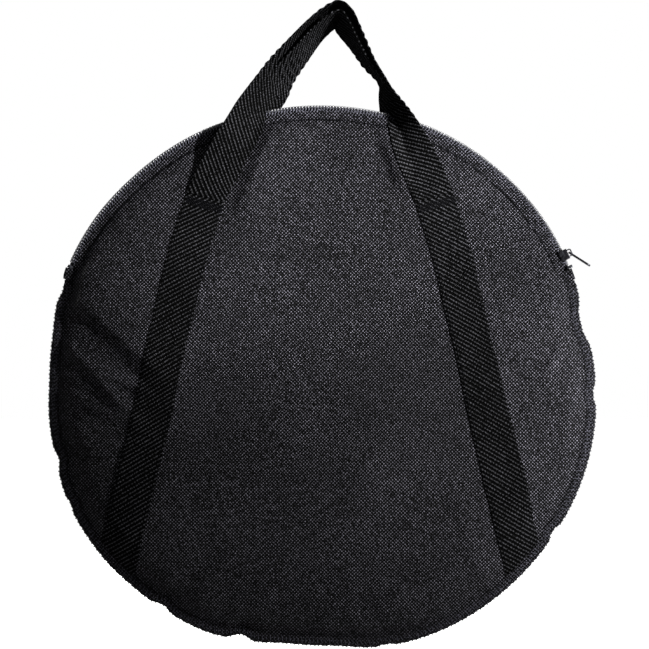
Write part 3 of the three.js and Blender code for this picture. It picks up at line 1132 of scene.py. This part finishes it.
@dataclass
class Straps:
    """The four sewn runs of webbing, each from the seam up to its bartack."""

    finishes: Finishes
    line: tuple[tuple[float, float], ...] = (       # the right strap's, from its bartack down
        (131, 206), (150.5, 141), (166, 77), (180, 20), (191, -36), (206, -107), (219, -170),
        (233, -232),
    )
    length: float = 0.44       # laid flat, metres
    seam: float = 309.0        # the binding covers the strap outside this radius, mm
    stitch_inset: float = 3.0

    def build(self) -> None:
        """Makes each strap with its edge stitches and its bartack."""
        for side in Side:
            for hand in Hand:
                self.strap(side, hand)

    def strap(self, side: Side, hand: Hand) -> None:
        """Lays one strap on its face.

        Args:
            side: Front or back.
            hand: Left or right half.
        """
        points = np.array([(hand.value * x, z) for x, z in self.line])
        slope = unit_rows(np.gradient(points, axis=0))
        cross = np.stack([-slope[:, 1], slope[:, 0]], axis=1)
        cross *= np.sign(cross[:, :1])
        stations = [Station((x - c[0] * WEB / 2, side.value * HALF_DEPTH, z - c[1] * WEB / 2),
                            (c[0], 0.0, c[1])) for (x, z), c in zip(points, cross)]
        lean = side.value * hand.value
        strip = WebbingStrip(stations, lean, side, over_cloth(side, 1.35)).build()
        self.trim_at_seam(strip)
        half = hand.name.lower()
        settle(strip, f"{side.word}_strap_{half}",
               self.finishes.web_rise if lean > 0 else self.finishes.web_fall)
        parts = ("front_lower", "front_upper") if side is Side.FRONT else ("back",)
        tie(strip, side, *(f"strap_{part}_{half}" for part in parts))
        self.edge_stitches(side, hand, points, cross)
        self.bartack(side, hand, points[0], cross[0])

    def trim_at_seam(self, strip: bpy.types.Object) -> None:
        """Draws the strap's lower end in where the binding covers it."""
        spots = disc_places(strip)
        seam = self.seam * OUTLINE.scale(disc_angle(spots))
        pull = np.minimum(seam / np.hypot(spots[:, 0], spots[:, 2]), 1.0)
        spots[:, 0] *= pull
        spots[:, 2] *= pull
        place_on_disc(strip, spots)

    def edge_stitches(self, side: Side, hand: Hand, points: Array, cross: Array) -> None:
        """Runs a row of lockstitch down both edges of the strap.

        Args:
            side: The face that the strap is sewn to.
            hand: Its half.
            points: The strap's centre line.
            cross: The direction across it at each point.
        """
        pitch, covered = 4.0, 298.0
        lay = over_cloth(side, 1.75)
        places = []
        for edge in (-1, 1):
            row = points + cross * (WEB / 2 - self.stitch_inset) * edge
            run = run_along(row)
            for at in np.arange(pitch, run[-1], pitch):
                (x, x2), (z, z2) = (np.interp((at, at + 1), run, row[:, k]) for k in (0, 1))
                if math.hypot(x, z) <= covered:
                    here, ahead = lay(np.array([[x, 0, z], [x2, 0, z2]]))
                    places.append(frame_matrix(here, ahead - here, (0, side.value, 0)))
        stitches = repeated(thread_stitch(3.0, 0.36), places)
        name = f"{side.word}_strap_{hand.name.lower()}_stitches"
        settle(stitches, name, self.finishes.thread)
        tie(stitches, side)

    def bartack(self, side: Side, hand: Hand, top: Array, cross: Array) -> None:
        """Packs a dense block of thread across the strap under its free end.

        Args:
            side: The face that the strap is sewn to.
            hand: Its half.
            top: The strap's upper end.
            cross: The direction across the strap there.
        """
        first, last, row_pitch, pitch = 4.5, 13.5, 1.3, 3.6
        down = np.array([-cross[1], cross[0]])
        down *= -np.sign(down[1])
        lay = over_cloth(side, 2.0)
        places = []
        for row, at in enumerate(np.arange(first, last, row_pitch)):
            for offset in np.arange(3 - WEB / 2, WEB / 2 - 2, pitch):
                x, z = top + down * at + cross * (offset + row % 2 * pitch / 2)
                here, ahead = lay(np.array([[x, 0, z], [x + cross[0], 0, z + cross[1]]]))
                places.append(frame_matrix(here, ahead - here, (0, side.value, 0)))
        tack = repeated(thread_stitch(3.4, 0.55), places)
        name = f"bartack_{side.word}_{hand.name.lower()}"
        settle(tack, f"{name}_thread", self.finishes.thread)
        tie(tack, "flap" if side is Side.FRONT else "case", name)


@dataclass(frozen=True)
class Hold:
    """Where both handles pass, and how far each has turned edge-on there.

    x and z are disc millimetres, front_y and back_y the outer edges' depths,
    the turns are in degrees, and inset is how far the back handle runs inside
    the front one.
    """

    x: float
    z: float
    front_y: float
    front_turn: float
    back_y: float
    back_turn: float
    inset: float


@dataclass
class Handles:
    """The free runs of webbing, drawn together and turned edge-on over the hook."""

    finishes: Finishes
    length: float = 0.56       # laid flat, metres
    run: tuple[Hold, ...] = (
        Hold(-152.7, 211.9, -25.6, 0, 25.6, 0, 0), Hold(-139, 240, -28.5, 2, 28, 2, 0),
        Hold(-120.5, 274, -30.5, 8, 24, 8, 1), Hold(-102.5, 303, -29.5, 22, 14, 20, 2),
        Hold(-92, 319, -28, 34, 8, 30, 4), Hold(-71, 346, -25.5, 48, -4, 44, 8),
        Hold(-56.5, 364, -24, 60, -12, 56, 9), Hold(-35, 387, -22, 68, -16, 65, 10),
        Hold(-15, 407, -20, 75, -18, 70, 9), Hold(3, 422, -18, 78, -19, 72, 9),
        Hold(22, 431, -17, 79, -19, 74, 9), Hold(36, 421, -18, 81, -19, 68, 8),
        Hold(43.5, 406, -20, 82, -18, 68, 7), Hold(51.5, 387, -22, 82, -18, 75, 6),
        Hold(61.5, 364, -23, 83, -17, 80, 4), Hold(74, 343, -24, 79, -15, 84, 2),
        Hold(82, 330, -25, 72, -12, 72, 2), Hold(96, 313, -28, 58, -4, 50, 2),
        Hold(109, 296, -30.5, 40, 8, 28, 1), Hold(123, 274, -32, 20, 18, 15, 0),
        Hold(139, 243, -29.5, 4, 28, 4, 0), Hold(152.7, 211.9, -25.6, 0, 25.6, 0, 0),
    )
    end_slope: tuple[float, float] = (0.26, 0.966)      # the handle's way off the strap
    bend: tuple[float, float] = (2.0, 26.0)             # where it bends, mm over its hinge

    def build(self) -> None:
        """Makes both handles."""
        for side in Side:
            self.handle(side)

    def handle(self, side: Side) -> None:
        """Threads one strip through the holds.

        Args:
            side: The face that its ends are sewn to.
        """
        slope = np.gradient(np.array([(hold.x, hold.z) for hold in self.run]), axis=0)
        slope[0] = self.end_slope
        slope[-1] = (self.end_slope[0], -self.end_slope[1])
        stations = []
        for hold, (sx, sz) in zip(self.run, unit_rows(slope)):
            y, turn, shift = ((hold.front_y, hold.front_turn, 0.0) if side is Side.FRONT
                              else (hold.back_y, hold.back_turn, hold.inset))
            flat, deep = math.cos(math.radians(turn)), math.sin(math.radians(turn))
            stations.append(Station((hold.x + sz * shift, y, hold.z - sx * shift),
                                    (sz * flat, deep, -sx * flat)))
        strip = WebbingStrip(stations, -side.value, side, clear_of_cloth(side, 1.6), 1.05, 36,
                             self.wrinkles).build()
        name = f"{side.word}_handle"
        settle(strip, f"{name}_webbing", self.finishes.web_rise)
        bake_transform(strip)
        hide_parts(name)

    def wrinkles(self, u: Array, v: Array) -> Array:
        """Cross wrinkles where the webbing turns, strongest near the tightest turns."""
        wave = np.sin(2 * math.pi * (v + 0.35 * u + 2.5 * np.sin(u / 9)) / 9.5)
        places = ((175.0, 26.0, 0.9), (262.0, 18.0, 0.6), (330.0, 24.0, 0.7), (420.0, 26.0, 0.8))
        return sum(height * np.exp(-((v - middle) / spread) ** 2) * wave
                   for middle, spread, height in places)


# ---- The folded backdrop ----
@dataclass
class FoldedBackdrop:
    """The pack inside: cloth folded between the three coils of the sprung hoop."""

    finishes: Finishes
    coil_radius: float = 284.0
    coils: int = 3
    drop: float = 2.0          # how far the pack hangs below the disc's centre, mm
    leaf_radius: float = 270.5
    leaf_pitch: float = 13.6
    leaf_half: float = 5.4
    leaf_limit: float = 5.6

    def build(self) -> None:
        """Makes the cloth, the sleeve and the loop, and dresses the steel."""
        for node in ("hoop_band", "hoop_ferrule"):
            holder = frame["nodes"][node]
            holder.data.materials.clear()
            holder.data.materials.append(self.finishes.steel)
        self.sleeve()
        for i, place in enumerate(("front", "middle", "back")):
            self.leaf(place, (i - 1) * self.leaf_pitch)
        loop = rounded_copy("pack_pull_loop", 0.8)
        settle(loop, "pack_pull_loop_webbing", self.finishes.binding, 40)
        tie(loop, "case", "pack_pull_loop")

    def hoop_place(self, turns: float) -> Array:
        """The hoop's middle line after so many turns, in disc millimetres."""
        angle = 2 * math.pi * turns
        weave = angle / self.coils
        radius = self.coil_radius + 5 * math.sin(weave)
        return np.array([radius * math.cos(angle), 9.5 * math.cos(weave),
                         radius * math.sin(angle) - self.drop])

    def sleeve(self) -> None:
        """Sweeps the gathered cloth sleeve round the hoop."""
        steps, sides, gap = 540, 12, 0.012
        places = []
        rings = []
        for i in range(steps + 1):
            turns = gap + (self.coils - 2 * gap) * i / steps
            here = self.hoop_place(turns)
            forward = self.hoop_place(turns + 1e-3) - here
            forward /= np.linalg.norm(forward)
            out = np.array([here[0], 0, here[2]]) / math.hypot(here[0], here[2])
            out -= forward * out.dot(forward)
            deep = np.cross(out, forward)
            gather = 0.125 * math.sin(i * 1.9) + 0.075 * math.sin(i * 0.73)
            for k in range(sides):
                a = 2 * math.pi * k / sides
                flat = 1 + 0.18 * math.sin(3 * a + i * 0.2)
                places.append(here + out * math.cos(a) * (3.1 + gather) * flat
                              + deep * math.sin(a) * (3.9 + gather))
            rings.append(range(i * sides, (i + 1) * sides))
        faces = [(a[k], a[(k + 1) % sides], b[(k + 1) % sides], b[k])
                 for a, b in zip(rings, rings[1:]) for k in range(sides)]
        faces += [tuple(reversed(rings[0])), tuple(rings[-1])]
        piece = new_piece(np.array(places) * MM + MIDDLE, faces)
        in_edit_mode(piece, face_outwards)
        settle(piece, "hoop_sleeve_cloth", self.finishes.backdrop)
        tie(piece, "case", "hoop_sleeve")

    def leaf(self, place: str, y: float) -> None:
        """Crumples one leaf of the folded cloth.

        Args:
            place: front, middle or back.
            y: Its depth in the pack, mm.
        """
        deselect_all()
        bpy.ops.mesh.primitive_uv_sphere_add(segments=160, ring_count=48,
                                             radius=self.leaf_radius * MM,
                                             location=CENTRE + Vector((0, y, -self.drop)) * MM,
                                             rotation=(math.pi / 2, 0, 0))
        piece = bpy.context.object
        bpy.ops.object.transform_apply(location=True, rotation=True)
        spots = disc_places(piece)
        x, z = spots[:, 0], spots[:, 2] + self.drop
        radius = np.hypot(x, z)
        rim = self.leaf_radius + 0.5
        away = spots[:, 1] - y
        face = np.where(np.abs(away) < 1e-3, 0, np.sign(away))
        thick = self.leaf_half * (1 - (radius / rim) ** 6) ** 0.5 + 0.2
        crumple = 1.1 * ripple(x, z, 26, y + 2) + 0.7 * np.abs(ripple(x, z, 13, y + 7))
        swirl = 0.7 * np.sin(np.arctan2(z, x) * 17 + radius / 19 + 3 * ripple(x, z, 60, y))
        body = thick + (crumple + swirl) * smoothstep(rim - radius, 0, 30)
        spots[:, 1] = y + face * np.clip(body, 0.2, self.leaf_limit)
        place_on_disc(piece, spots)
        settle(piece, f"backdrop_leaf_{place}", self.finishes.backdrop, 80)
        tie(piece, "case", f"cloth_leaf_{place}")


# ---- Studio ----
@dataclass
class Studio:
    """A pale room with soft light, and the camera square on to the case."""

    view_width: float = 0.7464
    distance: float = 4.0
    aim: tuple[float, float] = (5.2, 60.4)      # the picture's middle, disc mm
    floor_gap: float = 60.0                     # from the case down to the floor, mm

    def build(self) -> None:
        """Makes the camera, the floor and the lights."""
        self.camera()
        self.floor()
        self.light("side_strip", "AREA", (0.72, -0.34, 0.02), (0.25, 0.0, -0.01), 10,
                   spread=math.radians(56), shape="RECTANGLE", size=0.2, size_y=0.4)
        self.light("back_soft_box", "AREA", (-1.4, 1.8, 1.2), (0, 0, 0), 90,
                   spread=math.radians(180), shape="RECTANGLE", size=1.0, size_y=1.0)
        self.light("key_spot", "SPOT", (1.5, -1.6, 1.0), (-0.01, 0.0, 0.25), 3100,
                   spot_size=math.radians(14), spot_blend=1.0, shadow_soft_size=0.06)
        world = bpy.context.scene.world or bpy.data.worlds.new("studio")
        bpy.context.scene.world = world
        world.use_nodes = True
        background = world.node_tree.nodes["Background"]
        background.inputs["Color"].default_value = (1, 1, 1, 1)
        background.inputs["Strength"].default_value = 1.0
        bpy.context.scene.view_settings.view_transform = "Standard"

    def camera(self) -> None:
        """Looks along +Y from far off, as a long lens does."""
        data = bpy.data.cameras.new("camera")
        data.sensor_width = 36
        data.lens = data.sensor_width * self.distance / self.view_width
        data.clip_end = 50
        camera = bpy.data.objects.new("camera", data)
        bpy.context.scene.collection.objects.link(camera)
        camera.location = CENTRE + Vector((self.aim[0] * MM, -self.distance, self.aim[1] * MM))
        camera.rotation_euler = Euler((math.pi / 2, 0, 0))
        bpy.context.scene.camera = camera

    def floor(self) -> None:
        """Lays a pale floor below the hanging case."""
        deselect_all()
        bottom = CENTRE.z - (RIM + self.floor_gap) * MM
        bpy.ops.mesh.primitive_plane_add(size=24, location=(0, 0, bottom))
        plane = bpy.context.object
        paper = Surface("floor_pale_paper")
        paper.fill(paper.shader, {"Base Color": linear("f6f6f5"), "Roughness": 0.9,
                                  "Emission Color": linear("ffffff"),
                                  "Emission Strength": 0.12})
        plane.name = "floor"
        plane.data.materials.append(paper.material)

    def light(self, name: str, kind: str, place: Triple, target: Triple, power: float,
              **settings: object) -> None:
        """Hangs one lamp, turned to its target.

        Args:
            name: The lamp's name.
            kind: AREA or SPOT.
            place: Its place from the disc's centre, in metres.
            target: The place it faces, from the disc's centre.
            power: Its power in watts.
            **settings: The lamp's own attributes.
        """
        data = bpy.data.lights.new(name, kind)
        data.energy = power
        for key, value in settings.items():
            setattr(data, key, value)
        lamp = bpy.data.objects.new(name, data)
        bpy.context.scene.collection.objects.link(lamp)
        lamp.location = CENTRE + Vector(place)
        aim = Vector(target) - Vector(place)
        lamp.rotation_euler = aim.to_track_quat("-Z", "Y").to_euler()


def main() -> None:
    """Builds the camera and every sub-assembly in order."""
    logging.basicConfig(level=logging.INFO, format="%(message)s")
    Studio().build()
    finishes = Finishes()
    for part in (CasePanels(finishes), RimBinding(finishes), Zip(finishes), Straps(finishes),
                 Handles(finishes), FoldedBackdrop(finishes)):
        part.build()
        LOG.info("%s is done", type(part).__name__)


if __name__ == "__main__":
    main()
